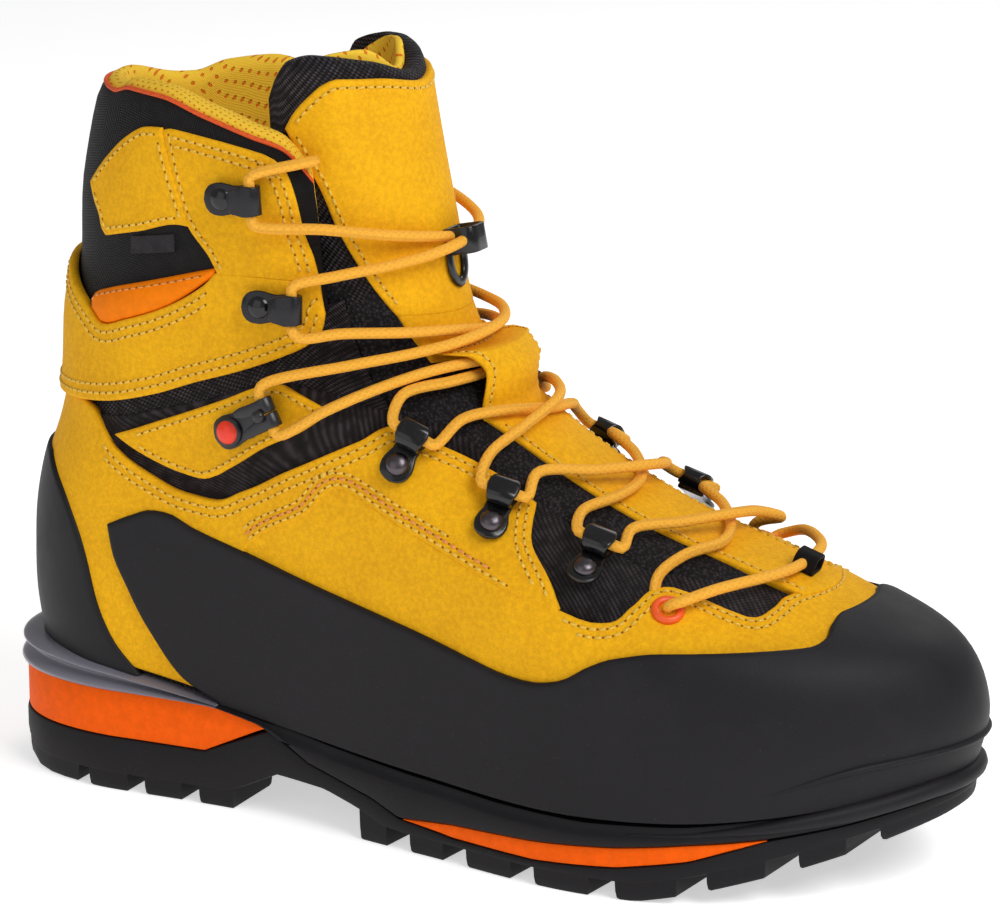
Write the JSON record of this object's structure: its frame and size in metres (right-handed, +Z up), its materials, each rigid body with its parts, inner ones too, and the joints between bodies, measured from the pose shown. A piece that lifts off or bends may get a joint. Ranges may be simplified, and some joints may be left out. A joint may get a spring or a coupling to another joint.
{
  "type": "mountaineering boot",
  "caption": "Lace-up mountaineering boot for the right foot: stiff lugged sole, rubber rand, padded cuff that flexes at the ankle, laced tongue.",
  "frame": {"origin": "centre of the bottom of the boot's box, on the ground", "axes": "+X towards the toe, +Y towards the inner (medial) side of the foot, +Z up"},
  "size_m": [0.3128, 0.1154, 0.2329],
  "materials": {
    "nubuck": "nubuck, yellow",
    "textile": "woven nylon, black",
    "rubber": "matte moulded rubber",
    "foam": "moulded polyurethane foam, orange",
    "orange": "soft padded fabric, orange",
    "welt": "satin TPU",
    "mesh": "spacer mesh lining",
    "board": "pressed fibre board",
    "shank": "plain steel",
    "gunmetal": "coated metal, satin",
    "gloss": "gloss black",
    "red": "satin",
    "grommet": "painted ring",
    "lace": "braided cord",
    "footbed": "felt over foam"
  },
  "bodies": {
    "foot": {"outsole": "rubber", "heel_wedge": "foam", "forefoot_wedge": "foam", "heel_welt": "welt", "midsole": "rubber", "shank": "shank", "insole_board": "board", "foot_lining": "mesh", "foot_textile": "textile", "heel_counter": "board", "toe_puff": "board", "vamp": "nubuck", "quarter_lateral": "nubuck", "quarter_medial": "nubuck", "ankle_patch_lateral": "nubuck", "ankle_patch_medial": "nubuck", "rubber_rand": "rubber", "heel_rand": "rubber", "ankle_gusset": "textile", "tongue_foot": "nubuck", "tongue_bend": "textile", "tongue_loop": "nubuck", "pulley_1_lateral": "gloss", "pulley_2_lateral": "gloss", "pulley_3_lateral": "gloss", "lock_hook_lateral": "gunmetal", "lock_rivet_lateral": "red", "grommet_lateral": "grommet", "pulley_1_medial": "gloss", "pulley_2_medial": "gloss", "pulley_3_medial": "gloss", "lock_hook_medial": "gunmetal", "lock_rivet_medial": "red", "grommet_medial": "grommet", "toe_keeper": "textile", "lace_toe": "lace", "lace_foot_lateral": "lace", "lace_ankle_lateral": "lace", "lace_foot_medial": "lace", "lace_ankle_medial": "lace"},
    "cuff": {"cuff_textile": "textile", "collar_lining": "mesh", "collar_padding": "orange", "cuff_leather": "nubuck", "cuff_tab_lateral": "nubuck", "cuff_insert_lateral": "orange", "cuff_tab_medial": "nubuck", "cuff_insert_medial": "orange", "tongue_pad": "textile", "tongue_shield": "nubuck", "hook_1_lateral": "gunmetal", "hook_2_lateral": "gunmetal", "hook_1_medial": "gunmetal", "hook_2_medial": "gunmetal", "tongue_keeper": "gloss", "lace_cuff_lateral": "lace", "lace_cuff_medial": "lace"},
    "tongue_tip": {"tongue_tip": "textile", "tongue_tip_shield": "nubuck"},
    "footbed": {"footbed": "footbed"}
  },
  "joints": [
    {"name": "ankle_flex", "type": "hinge", "parent": "foot", "child": "cuff", "pos_m": [-0.0708, 0.0033, 0.112], "axis": [0, 1, 0], "range_deg": [-2, 10], "stiffness_Nm_per_rad": 14, "deforming": ["ankle_gusset", "tongue_bend", "tongue_loop", "lace_ankle_lateral", "lace_ankle_medial"]},
    {"name": "tongue_tip_flex", "type": "hinge", "parent": "cuff", "child": "tongue_tip", "pos_m": [-0.0198, 0.0033, 0.2], "axis": [0, 1, 0], "range_deg": [0, 15], "stiffness_Nm_per_rad": 0.6},
    {"name": "footbed_lift", "type": "hinge", "parent": "foot", "child": "footbed", "pos_m": [0.1394, 0.0093, 0.0343], "axis": [0, 1, 0], "range_deg": [0, 5]}
  ]
}
